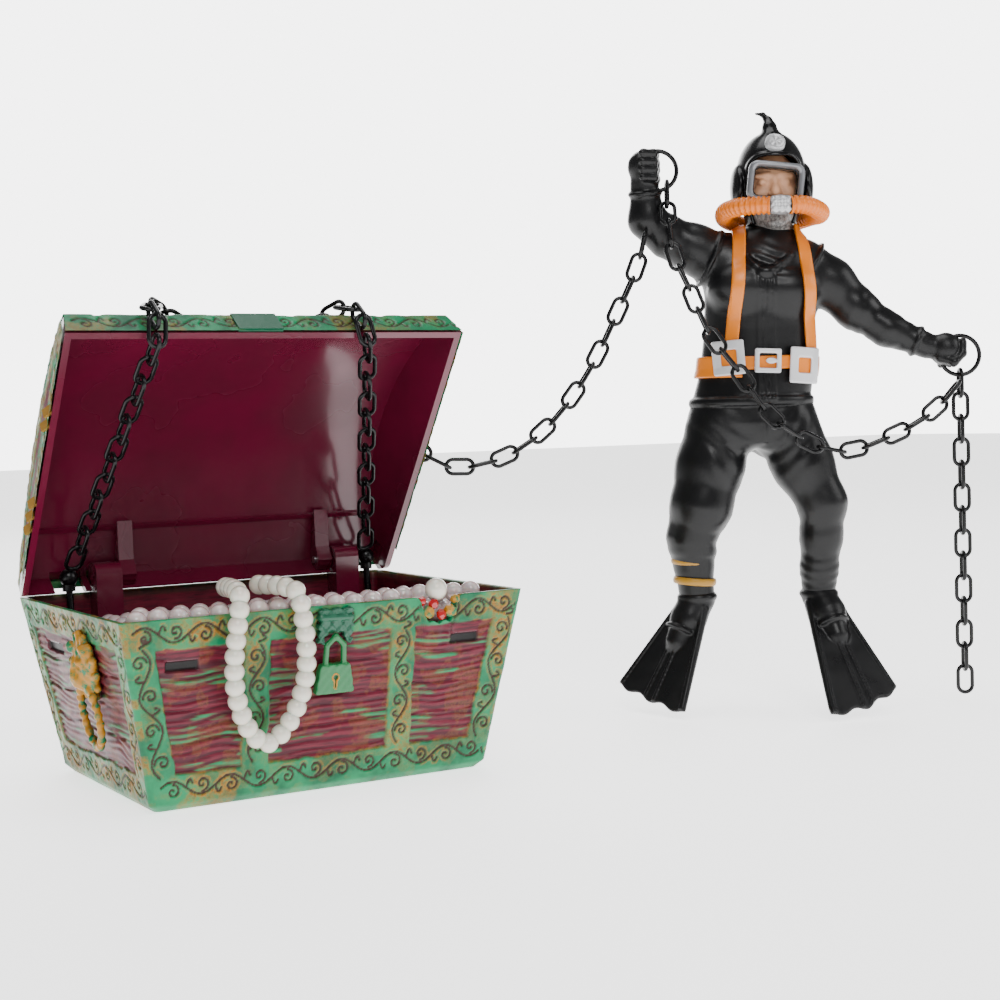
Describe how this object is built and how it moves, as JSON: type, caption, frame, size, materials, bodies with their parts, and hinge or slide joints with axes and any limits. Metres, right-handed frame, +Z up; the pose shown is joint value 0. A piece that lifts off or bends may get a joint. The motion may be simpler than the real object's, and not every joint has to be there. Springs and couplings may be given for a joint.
{
  "type": "bubbling treasure chest ornament",
  "caption": "Aquarium ornament: a treasure chest with a hinged domed lid, pearl strands and black link chains, tied by chain to a scuba diver figure that stands beside it.",
  "frame": {"origin": "middle of the chest's underside", "axes": "+Z up, +X along the chest towards the diver, +Y towards the hinge side"},
  "size_m": [0.2302, 0.0826, 0.1528],
  "materials": {
    "tub_paint": "painted resin, green straps over dark red planks, dry-brushed gold",
    "tray_paint": "satin dark red",
    "black_plastic": "gloss black",
    "ballast": "rough cast",
    "pin_steel": "drawn wire",
    "lion_gold": "gold paint rubbed over green",
    "cream_pearl": "pearl lustre",
    "pink_pearl": "pearl lustre",
    "jewels": "gold and red",
    "lock_dark": "dark green",
    "lock_green": "bright green with gold keyhole",
    "chain_black": "gloss black",
    "suit": "satin black",
    "helmet_black": "satin black",
    "skin": "matt skin tone",
    "orange": "gloss orange",
    "mustard": "satin mustard",
    "silver": "silver paint",
    "lens": "clear",
    "tank_grey": "satin grey",
    "fin": "satin black"
  },
  "bodies": {
    "chest": {"air_nipple": "black_plastic", "air_riser": "black_plastic", "ballast_block": "ballast", "chain_anchor_left": "black_plastic", "chain_anchor_right": "black_plastic", "chest_tub": "tub_paint", "hasp_plate": "lock_dark", "hinge_pin_left": "pin_steel", "hinge_pin_right": "pin_steel", "hinge_post_left": "tray_paint", "hinge_post_right": "tray_paint", "jewel_cluster": "jewels", "lion_knocker_left": "lion_gold", "lion_knocker_right": "lion_gold", "loose_pearl": "cream_pearl", "padlock": "lock_green", "pearl_heap": "pink_pearl", "pearl_necklace": "cream_pearl", "pearl_string_back": "pink_pearl", "pearl_string_front": "pink_pearl", "treasure_tray": "tray_paint"},
    "lid": {"lid_shell": "tub_paint", "lid_arm_left": "tray_paint", "lid_arm_right": "tray_paint", "lid_lock_block": "lock_dark", "lid_jewels": "jewels", "lid_chain_left": "chain_black", "lid_chain_right": "chain_black", "bridle_ring": "chain_black", "tether_chain_near": "chain_black"},
    "diver": {"torso": "suit", "weight_belt": "mustard", "right_arm": "suit", "left_arm": "suit", "trousers": "suit", "right_strap": "mustard", "left_strap": "mustard", "right_buckle": "silver", "left_buckle": "silver", "centre_buckle": "silver", "head": "skin", "helmet": "helmet_black", "helmet_lamp": "silver", "mask_frame": "silver", "mask_lens": "lens", "mouthpiece": "silver", "right_hose": "orange", "left_hose": "orange", "right_tank": "tank_grey", "left_tank": "tank_grey", "regulator": "silver", "tank_band": "mustard", "leg_bands": "mustard", "right_flipper": "fin", "left_flipper": "fin", "right_ring": "chain_black", "left_ring": "chain_black", "hand_chain": "chain_black", "tether_chain_far": "chain_black"},
    "tail": {"tail_chain": "chain_black"}
  },
  "joints": [
    {"name": "lid_hinge", "type": "hinge", "parent": "chest", "child": "lid", "pos_m": [0, 0.0324, 0.0435], "axis": [1, 0, 0], "range_deg": [0, 48], "deforming": ["tether_chain_near"]},
    {"name": "diver_rise", "type": "slide", "parent": "chest", "child": "diver", "axis": [0, 0, 1], "range_m": [0, 0.02], "deforming": ["tether_chain_far"]},
    {"name": "tail_swing", "type": "hinge", "parent": "diver", "child": "tail", "pos_m": [0.17729, -0.03708, 0.0847], "axis": [0.5089, 0.8608, 0], "range_deg": [-25, 12]}
  ]
}
